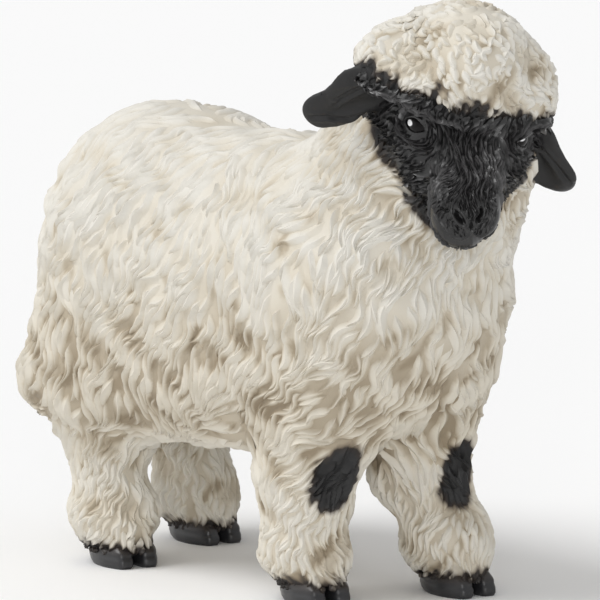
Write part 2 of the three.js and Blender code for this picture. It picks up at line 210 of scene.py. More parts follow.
EARS = {
    "left": dict(
        root=(-5, 8, -0.6), side=1, droop=49, sweep=0, roll=24, length=12.9,
        outline=((0, 0.3, 3.0), (3.4, 0.5, 3.1), (5.7, 0.9, 3.0), (7.7, 1.0, 2.9), (9.5, 0.85, 2.8),
                 (10.3, 0.7, 2.6), (11.8, 0.6, 2.1), (13, 0.6, 2.0)),
        hollow=((6.6, 1.5, -1.75), (5.2, 1.9, 1.45)),
        creases=(((5.0, -0.1), (6.3, -0.3), (8.4, -0.64), (11.1, -0.85)),)),
    "right": dict(
        root=(-5, -8, 0.8), side=-1, droop=28, sweep=2, roll=6, length=11.9,
        outline=((0, 1.2, 3.4), (4, 1.9, 4.1), (5.4, 1.7, 4.2), (6.5, 1.15, 4.0), (7.6, 0.5, 3.5),
                 (8.5, 0.0, 3.0), (9.5, -0.1, 2.75), (10.5, -0.2, 2.65), (11.9, -0.25, 2.6)),
        hollow=((5.6, -0.3, -1.9), (4.4, 1.5, 1.3)),
        creases=(((5.0, -2.2), (6.8, -2.0), (8.3, -1.4), (9.1, -0.8), (10.8, -0.4)),
                 ((4.1, 2.6), (6.5, 1.6), (7.6, 0.8)), ((3.9, 3.3), (6.3, 2.3), (7.3, 1.7)))),
}


def ear_frame(ear):
    droop, sweep, roll = (math.radians(ear[key]) for key in ("droop", "sweep", "roll"))
    side = ear["side"]
    along = np.array([-math.sin(sweep), side * math.cos(sweep), 0]) * math.cos(droop)
    along[2] = -math.sin(droop)
    upper = unit(np.array([0, 0, 1]) - along * along[2])
    back = np.cross(upper, along) * side
    back = back * math.cos(roll) + upper * math.sin(roll)
    return np.stack([along, np.cross(back, along), back], 1), np.array(ear["root"], float)


def ear_coordinates(ear, q):
    axes, root = ear_frame(ear)
    return (q - root) @ axes


def ear_field(ear):
    """A leaf cupped forward, with a hollow along its front inside a rounded rim; its creases are pressed in later
    by ear_creases.
    """
    at, middle, half = np.array(ear["outline"]).T
    hollow = ellipsoid(*ear["hollow"])

    def field(q):
        e = ear_coordinates(ear, q)
        h = np.interp(e[:, 0], at, half)
        cup = 0.06 * np.minimum(e[:, 1] ** 2, 16)
        end = np.maximum(e[:, 0] - ear["length"] + EAR_TIP_ROUND, 0) + np.maximum(-e[:, 0], 0)
        across = e[:, 1] - np.interp(e[:, 0], at, middle)
        v = np.stack([end / EAR_TIP_ROUND, across / h, (e[:, 2] + cup) / EAR_HALF_THICKNESS], 1)
        r = np.stack([np.full(len(q), EAR_TIP_ROUND), h, np.full(len(q), EAR_HALF_THICKNESS)], 1)
        k0 = length(v)
        leaf = k0 * (k0 - 1) / np.maximum(length(v / r), 1e-6)
        lifted = e.copy()
        lifted[:, 2] += cup
        return -soft_min(-leaf, hollow(lifted), 0.5)

    return field


def ear_creases(p):
    """How far the front of the ears is pressed in along their creases."""
    q = to_head(p)
    press = np.zeros(len(p))
    for ear in EARS.values():
        e = ear_coordinates(ear, q)
        front = smooth(0.3, -0.3, e[:, 2] + 0.06 * np.minimum(e[:, 1] ** 2, 16)) * (ears_in_world(p) < 0.5)
        for crease in ear["creases"]:
            at, across = np.array(crease).T
            off = e[:, 1] - np.interp(e[:, 0], at, across)
            reach = smooth(at[0] - 1, at[0] + 0.3, e[:, 0]) * smooth(at[-1] + 0.8, at[-1] - 0.5, e[:, 0])
            press += (0.34 * np.exp(-(off / 0.24) ** 2) - 0.14 * np.exp(-((np.abs(off) - 0.62) / 0.25) ** 2)) * reach * front
    return press


def wool_surface(p):
    """The tips of the wool: the outside of the woolly parts."""
    d = soft_min(body_field(p), tail_field(p), 1.5)
    d = soft_min(d, cap_in_world(p), 1.2)
    low = p[:, 2] < 9
    if low.any():
        d[low] = booted(p[low], d[low])
    return d


def booted(p, d):
    """The legs drawn in towards the hooves, and hanging over their tops."""
    for foot in FEET.values():
        c, s = math.cos(math.radians(foot["toes"])), math.sin(math.radians(foot["toes"]))
        x, y = p[:, 0] - foot["x"] + 0.8, p[:, 1] - foot["y"]
        column = ellipsoid([0, 0, 0], [HOOF_LENGTH / 2 + 0.1, HOOF_WIDTH / 2 + 0.1, 60])(
            np.stack([x * c + y * s, y * c - x * s, np.zeros(len(p))], 1))
        taper = column - 0.2 - 0.9 * np.maximum(p[:, 2] - WOOL_END, 0)
        d = np.where(column < 4, -soft_min(-d, -taper, 0.6), d)
        d = soft_min(d, np.maximum(column, p[:, 2] - 6), 0.4)
    return d


def coat_surface(p):
    """What the wool is laid on: the woolly parts, with the cheeks and jaw faired into them."""
    return soft_min(wool_surface(p), face_in_world(p) + 0.05, 2.0)


def face_edge(q):
    """How far inside the dark face a point is, in millimetres; below zero is woolly cheek or jaw."""
    forward = np.maximum(q[:, 0] - 2.4, 0)
    jaw = (q[:, 2] + 4.6 + 1.6 * forward) / (1 + 0.8 * smooth(0, 2, forward))
    return np.minimum(jaw, q[:, 0] + 6.2)


def cap_height(q):
    return (q - CAP_EDGE) @ CAP_FACING


def cap_in_world(p):
    q = to_head(p)
    under = (CAP_EDGE - q) @ CAP_FACING
    return -soft_min(-cap_field(q), -under, 0.8)


def face_in_world(p):
    return face_shape(to_head(p))


def ears_in_world(p):
    q = to_head(p)
    return np.minimum(ear_field(EARS["left"])(q), ear_field(EARS["right"])(q))


def eye_frame(side):
    """Axes of an eye, along its opening, up and outward, and its centre, in the head's frame."""
    flip = np.array([1, side, 1])
    out = unit(EYE_OUT) * flip
    along = EYE_ALONG * flip
    along = unit(along - out * (along @ out))
    return np.stack([along, np.cross(out, along) * side, out], 1), EYE_PLACE * flip


def lidded(q, face):
    """The face with the rims of the orbits, and lids that close round each eye."""
    for side in (1, -1):
        axes, centre = eye_frame(side)
        e = (q - centre) @ axes
        orbit = ellipsoid([0.1, 0.1, -0.75], [3.1, 2.5, 1.95])(e)
        face = soft_min(face, orbit, 1.0)
        lids = ellipsoid([0, 0, 0], [EYE_RADIUS * EYE_STRETCH + 0.2, EYE_RADIUS + 0.24, EYE_RADIUS + 0.2])(e)
        face = soft_min(face, lids, 0.25)
        gap = np.abs(e[:, 1]) - LID_HALF_OPENING * (1 - (e[:, 0] / LID_HALF_LENGTH) ** 2)
        opening = np.maximum(gap * 0.8, 0.3 - e[:, 2])
        face = -soft_min(-face, opening, 0.14)
    return face


def skin_field(p):
    """The one skin: under the wool by its depth, and close under the fur of the face."""
    q = to_head(p)
    wool = wool_surface(p) + WOOL_DEPTH
    sole = WOOL_END - p[:, 2]
    wool = -soft_min(-wool, -sole, 0.8)
    face = face_shape(q) + FUR_DEPTH
    near = length(q[:, :3] * np.array([1, 0, 1]) - np.array([1, 0, 0.5])) < 6
    if near.any():
        face[near] = lidded(q[near], face[near])
    ears = np.minimum(ear_field(EARS["left"])(q), ear_field(EARS["right"])(q))
    brow = 0.8 + 2.2 * smooth(3.0, 0.5, cap_in_world(p)) * smooth(-4, -2, q[:, 0])
    return soft_min(soft_min(wool, face, brow), ears, 1.2)


def slope(field, p, e=0.04):
    """Unit normals of a field, from four samples about each point."""
    total = np.zeros_like(p)
    for k in ((1, -1, -1), (-1, -1, 1), (-1, 1, -1), (1, 1, 1)):
        k = np.array(k, float)
        total += field(p + k * e)[:, None] * k
    return unit(total)


def onto(field, p, level=0.0, times=2):
    for _ in range(times):
        p = p - slope(field, p) * (field(p) - level)[:, None]
    return p


def ripple(p, size, seed):
    """Smooth noise of about unit size, made of a few plane waves in random directions."""
    rng = np.random.default_rng(seed)
    total = np.zeros(len(p))
    for _ in range(7):
        direction = unit(rng.normal(size=3)) * (2 * math.pi / size * rng.uniform(0.6, 1.5))
        total += np.sin(p @ direction + rng.uniform(0, 2 * math.pi))
    return total / 2.6


def undulation(p):
    """The gentle lumps of the moulded wool, calmer on the back."""
    calm = smooth(50, 56, p[:, 2]) * smooth(22, 14, p[:, 0])
    return 0.24 * ripple(p, 6.0, 21) * (1 - 0.5 * calm)


# ---------------------------------------------------------------- meshing
def surface_net(field, low, high, cell, stride=4):
    """One vertex in each cell that the surface crosses, and a quad across each crossed edge."""
    low = np.array(low, float)
    count = [int(math.ceil((h - l) / cell / stride)) * stride + 1 for l, h in zip(low, high)]
    grid = [low[n] + np.arange(count[n]) * cell for n in range(3)]
    coarse = np.stack(np.meshgrid(*[g[::stride] for g in grid], indexing="ij"), -1)
    rough = field(coarse.reshape(-1, 3)).reshape(coarse.shape[:3])
    nearest = [np.minimum((np.arange(c) + stride // 2) // stride, rough.shape[n] - 1)
               for n, c in enumerate(count)]
    value = rough[np.ix_(*nearest)]
    near = np.argwhere(np.abs(value) < cell * stride * 1.6)
    value[tuple(near.T)] = field(low + near * cell)
    inside = value < 0
    strides = np.array([count[1] * count[2], count[2], 1])
    flat = value.ravel()
    owners, places, quads = [], [], []
    for axis in range(3):
        ahead = [slice(None)] * 3
        behind = [slice(None)] * 3
        ahead[axis], behind[axis] = slice(1, None), slice(None, -1)
        crossed = np.argwhere(inside[tuple(ahead)] != inside[tuple(behind)])
        start = crossed @ strides
        v0, v1 = flat[start], flat[start + strides[axis]]
        at = crossed.astype(float)
        at[:, axis] += v0 / (v0 - v1)
        u, v = strides[(axis + 1) % 3], strides[(axis + 2) % 3]
        around = np.stack([start - u - v, start - v, start, start - u], 1)
        owners.append(around.ravel())
        places.append(np.repeat(at, 4, axis=0))
        outward = v0 < 0
        around[~outward] = around[~outward][:, ::-1]
        quads.append(around)
    owners, places, quads = (np.concatenate(x) for x in (owners, places, quads))
    cells, index = np.unique(owners, return_inverse=True)
    total = np.bincount(index)
    points = np.stack([np.bincount(index, places[:, n]) / total for n in range(3)], 1)
    return low + points * cell, np.searchsorted(cells, quads)


def relax(points, quads, field, times, level=0.0):
    """Evens the mesh out along the surface, and puts each point back onto it."""
    edges = np.concatenate([quads[:, [n, (n + 1) % quads.shape[1]]] for n in range(quads.shape[1])])
    a, b = np.concatenate([edges, edges[:, ::-1]]).T
    degree = np.maximum(np.bincount(a, minlength=len(points)), 1)
    for _ in range(times):
        mean = np.stack([np.bincount(a, points[b, n], len(points)) / degree for n in range(3)], 1)
        points = onto(field, points + (mean - points) * 0.6, level, 1)
    return points


def row(p):
    return (np.asarray(p) + SHIFT) * 0.001


def mesh_object(name, points, faces, attributes=None, uv=None):
    """A mesh from arrays, in the row frame, smooth shaded."""
    mesh = bpy.data.meshes.new(name)
    faces = np.asarray(faces, np.int32)
    sides = faces.shape[1]
    mesh.vertices.add(len(points))
    mesh.vertices.foreach_set("co", row(points).astype(np.float32).ravel())
    mesh.loops.add(faces.size)
    mesh.loops.foreach_set("vertex_index", faces.ravel())
    mesh.polygons.add(len(faces))
    mesh.polygons.foreach_set("loop_start", np.arange(0, faces.size, sides, dtype=np.int32))
    if uv is not None:
        layer = mesh.uv_layers.new(name="OFBake")
        layer.data.foreach_set("uv", uv[faces.ravel()].astype(np.float32).ravel())
    for key, values in (attributes or {}).items():
        made = mesh.attributes.new(key, "FLOAT", "POINT")
        made.data.foreach_set("value", np.asarray(values, np.float32))
    mesh.update(calc_edges=True)
    mesh.validate()
    mesh.polygons.foreach_set("use_smooth", np.ones(len(mesh.polygons), bool))
    made = bpy.data.objects.new(name, mesh)
    bpy.context.scene.collection.objects.link(made)
    return made


# ---------------------------------------------------------------- markings
KNEES = (((20.2, -8.8, 15.6), (3.1, 4.2)), ((23.9, 8.4, 14.9), (2.8, 4.3)))


def soot(p):
    """How far black and brown paint covers the cream, from 0 to 1, at any point of skin or coat."""
    q = to_head(p)
    ragged = ripple(p, 1.6, 11)
    face = smooth(-3.4, 0.2, face_edge(q) + 0.5 * ragged) * smooth(2.2, 0.6, face_in_world(p))
    fringe = smooth(3.2, 0.5, cap_height(q) + 0.5 * ragged + 0.6 * ripple(p, 5.0, 71)) * smooth(-8.5, -6, q[:, 0])
    capped = cap_in_world(p) < 0.8
    paint = np.where(capped, fringe * smooth(-2.5, -1, face_edge(q)), face)
    paint = np.maximum(paint, smooth(1.0, 0.1, ears_in_world(p) + 0.25 * ragged))
    for centre, (wide, high) in KNEES:
        k = p - np.array(centre)
        ring = (np.abs((k[:, 1] - 0.12 * k[:, 2]) / wide) ** 2.3 + np.abs(k[:, 2] / high) ** 2.3) ** (1 / 2.3)
        patch = smooth(1.25, 0.68, ring + 0.05 * ragged) * smooth(-5.5, -4, k[:, 0])
        paint = np.maximum(paint, patch)
    boot = 0.75 * smooth(4.3, 1.8, p[:, 2] + 0.4 * ragged)
    return np.clip(np.maximum(paint, boot), 0, 1)


def furred(p):
    """The paint of the dark fur, browner where it meets the wool."""
    return np.maximum(soot(p), smooth(-1.6, 0.9, face_edge(to_head(p)) + 0.3 * ripple(p, 1.6, 12)))


def patchy(paint, level):
    """Sprayed paint that thins out over the crests, where it is not solid."""
    return np.clip(paint - 0.9 * paint * (1 - paint) * smooth(-0.12, 0.15, level), 0, 1)


def wash_and_painted_shade(p, level):
    """How much beige and painted shade lies on the wool: the toy's thin beige paint, washed into its hollows, with
    painted shade there too, deeper near the face and in scattered pockets; and more beige towards the bottom of the
    body.
    """
    # the toy's beige paint in the hollows, together with painted shade there
    hollow = smooth(0.18, -0.28, level)
    # more beige towards the bottom of the body
    low = smooth(46, 24, p[:, 2]) * (1 - 0.5 * smooth(20, 14, p[:, 2]))
    drift = ripple(p, 9.0, 31) * 0.5
    ruff = smooth(11, 1.5, face_in_world(p))
    # painted shade deepened in scattered pockets, fewer on the calm back
    pocket = smooth(0.3, 1.3, ripple(p, 5.0, 61)) * (1 - 0.6 * smooth(50, 56, p[:, 2]) * smooth(22, 14, p[:, 0]))
    deep = 0.6 + 0.3 * drift + 0.5 * low + 0.8 * ruff + 0.7 * pocket
    return np.clip(0.5 * hollow * deep + 0.36 * low + 0.08 * drift, 0, 1)


# ---------------------------------------------------------------- the skin
def on_face(p):
    q = to_head(p)
    bare = (face_shape(q) < 0.35) & (wool_surface(p) > -0.7)
    return bare | (ears_in_world(p) < 0.35) & (wool_surface(p) > -1.0)


def fine_face(p):
    q = to_head(p)
    near_eye = length(q * np.array([1, 0, 1]) - EYE_PLACE * np.array([1, 0, 1])) < 3.2
    return (near_eye & (np.abs(q[:, 1]) > 3) | (q[:, 0] > 8.5)) & (face_shape(q) < 0.6)


def refine(points, faces, regions, field):
    """Splits the edges inside each region in turn, and puts the new points on the surface."""
    mesh = bpy.data.meshes.new("work")
    mesh.from_pydata(points.tolist(), [], faces.tolist())
    bm = bmesh.new()
    bm.from_mesh(mesh)
    for region in regions:
        inside = region(points)
        bm.verts.ensure_lookup_table()
        edges = [e for e in bm.edges if inside[e.verts[0].index] and inside[e.verts[1].index]]
        bmesh.ops.subdivide_edges(bm, edges=edges, cuts=1, use_grid_fill=True)
        bm.verts.index_update()
        points = np.array([v.co[:] for v in bm.verts])
        moved = region(points)
        points[moved] = onto(field, points[moved], 0, 2)
        for v, p in zip(bm.verts, points):
            v.co = p
    bmesh.ops.triangulate(bm, faces=bm.faces)
    bm.to_mesh(mesh)
    bm.free()
    faces = np.empty(len(mesh.polygons) * 3, np.int32)
    mesh.polygons.foreach_get("vertices", faces)
    bpy.data.meshes.remove(mesh)
    return points, faces.reshape(-1, 3)


def nose_frame(q):
    """Distance out from the middle of the nose, and height above the upper lip's edge and above all."""
    y, z = q[:, 1] - NOSE_AT[0], q[:, 2] - NOSE_AT[1]
    c, s = math.cos(NOSE_TURN), math.sin(NOSE_TURN)
    side, up = y * c + z * s, z * c - y * s + NOSE_AT[1]
    side = np.where(side > 0, 1.25 * side, -side)
    return side, up - np.interp(side, MOUTH_SIDE, MOUTH_UP), up


def nostril_ring(side, up):
    """Less than one in the hollow of a nostril, which slants out and up."""
    outward, upward = side - NOSTRIL[0], up - NOSTRIL[1]
    return np.sqrt((0.55 * outward + 0.83 * upward) ** 2 + ((0.83 * outward - 0.55 * upward) / 0.42) ** 2)


def sculpted(p):
    """Presses mouth, lower lip, philtrum and nostrils into the muzzle."""
    q = to_head(p)
    front = smooth(8.0, 9.6, q[:, 0]) * (face_shape(q) < 1)
    side, over, up = nose_frame(q)
    within = smooth(4.4, 3.4, side)
    lip = 0.6 * smooth(0.1, -0.16, over) * smooth(-2.8, -0.9, over) * within
    lip = lip - 0.3 * np.exp(-((over - 0.24) / 0.2) ** 2) * within
    groove = 0.28 * np.exp(-((side / 0.16) ** 2)) * smooth(-3.0, -3.8, up) * smooth(-0.2, 0.3, over)
    ring = nostril_ring(side, up)
    nostril = (0.9 * smooth(1.15, 0.4, ring) - 0.12 * np.exp(-(((ring - 1.5) / 0.35) ** 2))) * (q[:, 0] > 10.5)
    press = (lip + groove + nostril) * front + ear_creases(p)
    touched = press != 0
    if touched.any():
        p = p.copy()
        p[touched] -= slope(skin_field, p[touched]) * press[touched][:, None]
    return p


LOW, HIGH = (-46, -26, 2), (58, 26, 80)
points, quads = surface_net(skin_field, LOW, HIGH, SKIN_CELL)
points = relax(onto(skin_field, points), quads, skin_field, 3)
skin_points, skin_faces = refine(points, quads, [on_face, fine_face], skin_field)
woolly = (wool_surface(skin_points) < -0.1) & (skin_points[:, 2] > HOOF_HEIGHT + 1)
skin_points[woolly] += slope(skin_field, skin_points[woolly]) * undulation(skin_points[woolly])[:, None]
skin_points = sculpted(skin_points)
# the skin lies deepest under the coat, so it takes the most beige and painted shade
skin_wash_and_painted_shade = wash_and_painted_shade(skin_points, np.full(len(skin_points), -WOOL_DEPTH))
# under the face fur it is held to the satin limit, which still darkens the black paint as painted shade
furry = (face_in_world(skin_points) < 1) & (ears_in_world(skin_points) > 0.5)
skin_wash_and_painted_shade[furry] = np.minimum(skin_wash_and_painted_shade[furry], SATIN_WASH_AND_PAINTED_SHADE)
skin = mesh_object("skin", skin_points, skin_faces, {"soot": soot(skin_points), "wash_and_painted_shade": skin_wash_and_painted_shade})


# ---------------------------------------------------------------- the coat
def lie(p):
    """The way the coat points at each place, before it is laid onto the surface."""
    q = to_head(p)
    side = np.clip(p[:, 1] / 5, -1, 1)
    shank = 1 - smooth(10, 17, p[:, 2])
    body = np.stack([-0.42 * (1 - 0.8 * shank), side * 0.5 * (1 - shank), np.full(len(p), -1.0)], 1)
    away = np.stack([np.full(len(p), -0.4), q[:, 1], q[:, 2] + 2.5], 1)
    away[:, 1:] /= np.maximum(length(away[:, 1:]), 1e-6)[:, None]
    ruff = away @ HEAD.T
    near = 0.5 * smooth(3.0, 0.2, face_in_world(p))[:, None]
    crown = np.array([-6.0, -1.0, 6.0])
    out = (q - crown) * np.array([1.0, 1.0, 0.0])
    out = unit(out) + np.array([0.25, 0, -0.5])
    cap = out @ HEAD.T
    on_cap = smooth(1.5, -1.5, cap_field(q) - body_field(p))[:, None]
    flow = (body * (1 - near) + ruff * near * 1.2) * (1 - on_cap) + cap * on_cap
    turn = 0.3 * ripple(p, 15, 51)
    return flow + np.cross(slope(wool_surface, p), flow) * turn[:, None]


def face_lie(p):
    """Down the brow and the bridge to the nose, round the eyes, and back and down over the cheeks."""
    q = to_head(p)
    side = np.sign(q[:, 1])
    bridge = np.stack([np.ones(len(p)), 0.10 * q[:, 1], np.full(len(p), -0.5)], 1)
    cheek = np.stack([np.full(len(p), -0.35), 0.5 * side, np.full(len(p), -0.8)], 1)
    jowl = np.stack([np.full(len(p), 0.15), 0.3 * side, np.full(len(p), -1.0)], 1)
    away = smooth(3.6, 5.4, np.abs(q[:, 1]) + 0.35 * np.maximum(-q[:, 2] - 2, 0)) * smooth(2.6, 1.0, q[:, 2])
    flow = bridge * (1 - away[:, None]) + cheek * away[:, None]
    low = (smooth(6.5, 8.5, q[:, 0]) * smooth(1.6, 3.0, np.abs(q[:, 1])))[:, None]
    flow = flow * (1 - low) + jowl * low
    for eye_side in (1, -1):
        axes, centre = eye_frame(eye_side)
        e = (q - centre) @ axes
        ring = (e[:, 0] / 2.6) ** 2 + (e[:, 1] / 1.6) ** 2 + OUT * (e[:, 2] < -2.5)
        around = unit(np.stack([-e[:, 1] / 1.6, e[:, 0] / 2.6, 0 * e[:, 0]], 1)) @ axes.T
        near = 0.85 * smooth(4.5, 1.5, ring)[:, None]
        flow = flow * (1 - near) + around * near
    return flow @ HEAD.T


ROWS = 15
STRAND = ((0.0, 0.0), (0.28, 0.2), (0.5, 1.0), (0.5, 1.0), (0.72, 0.2))  # across a strand, and height there


def lock_paths(roots, reach, wave, stray, surface, direction, wavelength, curl, seed):
    """Centre lines of locks that start at roots and follow the lie of the coat in waves."""
    p = roots
    step = (reach / (ROWS - 1))[:, None]
    places, normals, sides = [], [], []
    for k in range(ROWS):
        t = k / (ROWS - 1)
        n = slope(surface, p)
        p = p - n * surface(p)[:, None]
        flow = direction(p)
        flow = unit(flow - (flow * n).sum(1)[:, None] * n)
        phase = 2 * math.pi * (-p[:, 2] * 0.8 - p[:, 0] * 0.45) / wavelength + 2.0 * ripple(p, 9, seed) + stray
        angle = wave * np.sin(phase) + curl * smooth(0.62, 1.0, t)
        across = np.cross(n, flow)
        d = flow * np.cos(angle)[:, None] + across * np.sin(angle)[:, None]
        places.append(p)
        normals.append(n)
        sides.append(np.cross(n, d))
        p = p + d * step
    return np.stack(places, 1), np.stack(normals, 1), np.stack(sides, 1)


def lock_mesh(locks, surface, direction, wavelength, seed, strands=1, sunk=0.3, edge=-0.3, start=0.28, lumps=1.0):
    """Locks of a few strands side by side. Each strand is a slender ridge with a crisp crest, where two
    columns of points meet, and hollow flanks that run out flat."""
    rng = np.random.default_rng(seed)
    reach, width, relief, lift = (locks[key] for key in ("reach", "width", "relief", "lift"))
    count = len(reach)
    profile = np.array([((n + x) / strands * 2 - 1, h) for n in range(strands) for x, h in STRAND] + [(1, 0)])
    columns = len(profile)
    centre, normal, side = lock_paths(locks["roots"], reach, locks["wave"], locks["stray"], surface,
                                      direction, wavelength, locks["curl"], seed)
    t = np.linspace(0, 1, ROWS)[None, :, None]
    u = profile[None, None, :, 0]
    taper = (0.35 + 0.65 * smooth(0, start * 1.25, t)) * (1 - 0.8 * smooth(0.45, 1, t) ** 1.3)
    sway = 0.22 * np.sin(2 * math.pi * (t * 1.1 + rng.random((count, 1, 1))) + 2.2 * u)
    across = width[:, None, None] * (u + sway * (1 - u * u)) * taper / 2
    strand = np.minimum(np.arange(columns) // len(STRAND), strands - 1)
    tall = rng.uniform(0.55, 1.2, (count, 1, strands))[:, :, strand]
    swell = 1 + 0.25 * np.sin(2 * math.pi * (t * 1.5 + rng.random((count, 1, strands))[:, :, strand]))
    fade = smooth(0, start * 0.8, t) * (1 - 0.45 * smooth(0.75, 1, t))
    rise = smooth(0, start, t) * (1 - smooth(0.78, 1, t) ** 1.5)
    top = lift[:, None, None] + 0.06 * smooth(0.3, 0.8, t)
    level = -sunk + (sunk + top) * rise
    level = level + relief[:, None, None] * (profile[None, None, :, 1] * tall * swell - 0.35) * fade
    level = np.where(np.abs(u) > 0.99, np.minimum(level, edge), level)
    flat = (centre[:, :, None, :] + side[:, :, None, :] * across[..., None]).reshape(-1, 3)
    n = np.repeat(normal.reshape(-1, 3), columns, axis=0)
    if lumps:
        level = level + lumps * undulation(flat).reshape(level.shape)
    flat = flat + n * (level.reshape(-1) - surface(flat))[:, None]
    stray = np.abs(surface(flat) - level.reshape(-1)).reshape(count, -1).max(1)
    leap = length(np.diff(centre, axis=1)).max(1) > reach / (ROWS - 1) * 2
    kept = (stray < 0.9) & ~leap
    flat = flat.reshape(count, -1, 3)[kept].reshape(-1, 3)
    level, count = level[kept], kept.sum()
    grid = np.arange(ROWS * columns).reshape(ROWS, columns)
    cell = np.stack([grid[:-1, :-1], grid[:-1, 1:], grid[1:, 1:], grid[1:, :-1]], -1)
    cell = cell[:, np.diff(profile[:, 0]) > 0].reshape(-1, 4)
    faces = (cell[None] + (np.arange(count) * ROWS * columns)[:, None, None]).reshape(-1, 4)
    local = np.stack([np.broadcast_to(u / 2, level.shape), np.broadcast_to(t - 0.5, level.shape)], -1)
    return flat, faces, level.reshape(-1), local.reshape(-1, 2), kept


def scatter(points, quads, spacing, keep, seed):
    """Places spread evenly over the mesh, at least spacing apart, where keep says so."""
    rng = np.random.default_rng(seed)
    corner = points[quads]
    normal = np.cross(corner[:, 2] - corner[:, 0], corner[:, 3] - corner[:, 1]) / 2
    area = length(normal)
    number = int(area.sum() / (spacing * spacing) * 4)
    chosen = rng.choice(len(quads), number, p=area / area.sum())
    s, t = rng.random((2, number, 1))
    c = corner[chosen]
    spots = (c[:, 0] * (1 - s) + c[:, 1] * s) * (1 - t) + (c[:, 3] * (1 - s) + c[:, 2] * s) * t
    ok = keep(spots)
    spots, chosen = spots[ok], chosen[ok]
    table, kept = {}, []
    cells = np.floor(spots / spacing).astype(int)
    for n, (x, y, z) in enumerate(cells.tolist()):
        clear = True
        for i in (x - 1, x, x + 1):
            for j in (y - 1, y, y + 1):
                for k in (z - 1, z, z + 1):
                    for other in table.get((i, j, k), ()):
                        if ((spots[other] - spots[n]) ** 2).sum() < spacing * spacing:
                            clear = False
        if clear:
            table.setdefault((x, y, z), []).append(n)
            kept.append(n)
    return spots[kept]


def unwrapped(field, cell=1.6):
    """Looks up places on an unwrap of the skin: a coarse copy of it, cut into flat islands."""
    nodes, squares = surface_net(field, LOW, HIGH, cell, stride=2)
    made = mesh_object("unwrap", nodes, squares)
    bpy.context.view_layer.objects.active = made
    made.select_set(True)
    bpy.ops.object.mode_set(mode="EDIT")
    bpy.ops.mesh.select_all(action="SELECT")
    bpy.ops.uv.smart_project(angle_limit=math.radians(60), island_margin=0.004)
    bpy.ops.object.mode_set(mode="OBJECT")
    spread = np.empty(len(made.data.loops) * 2, np.float32)
    made.data.uv_layers.active.data.foreach_get("uv", spread)
    spread = spread.reshape(-1, 4, 2)
    loops = np.empty(len(made.data.loops), np.int32)
    made.data.loops.foreach_get("vertex_index", loops)
    loops = loops.reshape(-1, 4)
    tree = BVHTree.FromPolygons([Vector(v) for v in nodes], loops.tolist())
    data = made.data
    bpy.data.objects.remove(made)
    bpy.data.meshes.remove(data)

    def look_up(p):
        found = np.array([tree.find_nearest(Vector(v))[2] for v in p])
        corner = nodes[loops[found]]
        weight = 1 / (length(corner - p[:, None, :]) ** 2 + 1e-6)
        weight /= weight.sum(1)[:, None]
        return (spread[found] * weight[..., None]).sum(1)

    return look_up


PATCH = 0.003  # the side of each tuft's patch on the unwrap
unwrap = unwrapped(skin_field)
coat = []


def coat_piece(name, locks, most_faces=190_000, paint_below=0.0, **shape):
    """Makes the locks in as many meshes as keep each under the limit of faces."""
    per_lock = 2 * 4 * shape.get("strands", 1) * (ROWS - 1)
    most = most_faces // per_lock
    total = len(locks["reach"])
    for first in range(0, total, most):
        part = {key: values[first:first + most] for key, values in locks.items()}
        flat, faces, level, local, kept = lock_mesh(part, **shape)
        # beige and painted shade by how deep each point lies; on the black fur it is held low and sets its painted
        # highlight and shade
        black, beige = soot(flat), wash_and_painted_shade(flat, level - paint_below)
        if "fur" in name:
            black, beige = furred(flat), np.minimum(beige, SATIN_WASH_AND_PAINTED_SHADE)
        else:
            black, beige = patchy(black, level), np.maximum(beige, 0.35 * black)
        places = np.repeat(unwrap(part["roots"][kept]), len(flat) // kept.sum(), axis=0)
        coat.append(mesh_object(f"{name}_{first // most + 1}", flat, faces,
                                {"soot": black, "wash_and_painted_shade": beige},
                                uv=places + local * PATCH))
    print(name, total, total * per_lock)


def lay(roots, surface, seed, reach, width, wave, curl, relief, lift=0.0, stray=0.5):
    """Sizes and turns of a family of locks, each a little unlike the others."""
    rng = np.random.default_rng(seed)
    roots = roots[np.argsort(roots[:, 0])]
    count = len(roots)
    size = rng.uniform(0.75, 1.3, count)
    return dict(
        roots=onto(surface, roots, 0, 3), reach=reach * size, width=width * size ** 0.5,
        wave=np.radians(wave) * rng.uniform(0.6, 1.4, count), stray=rng.uniform(-stray, stray, count),
        curl=np.radians(rng.uniform(-curl, curl, count)), relief=relief * rng.uniform(0.75, 1.25, count),
        lift=lift + rng.uniform(-0.06, 0.06, count))


def woolly_root(p):
    q = to_head(p)
    clear = (face_in_world(p) > 0.6) | (face_edge(q) < 0.2)
    return clear & (ears_in_world(p) > 0.6) & (p[:, 2] > WOOL_END + 0.2)


def capped(p):
    return cap_in_world(p) < body_field(p)


def on_leg(p):
    return p[:, 2] < 16.5


def on_body(p):
    return woolly_root(p) & ~capped(p) & ~on_leg(p)


def in_ruff(p):
    return on_body(p) & (face_in_world(p) < 7.5)


body_roots = scatter(points, quads, 1.28, lambda p: on_body(p) & ~in_ruff(p), 5)
fleece = lay(body_roots, coat_surface, 5, 5.8, 1.6, 29, 35, 0.38)
calm = smooth(50, 55.5, fleece["roots"][:, 2]) * smooth(22, 14, fleece["roots"][:, 0])
fleece["relief"] *= (1 - 0.65 * calm) * (1 + 0.25 * smooth(46, 36, fleece["roots"][:, 2]))
coat_piece("fleece", fleece, surface=coat_surface, direction=lie, wavelength=6.5, seed=5)

ruff_roots = scatter(points, quads, 1.0, in_ruff, 12)
ruff_wool = lay(ruff_roots, coat_surface, 12, 4.6, 1.15, 30, 40, 0.33)
coat_piece("ruff", ruff_wool, surface=coat_surface, direction=lie, wavelength=5.0, seed=5)

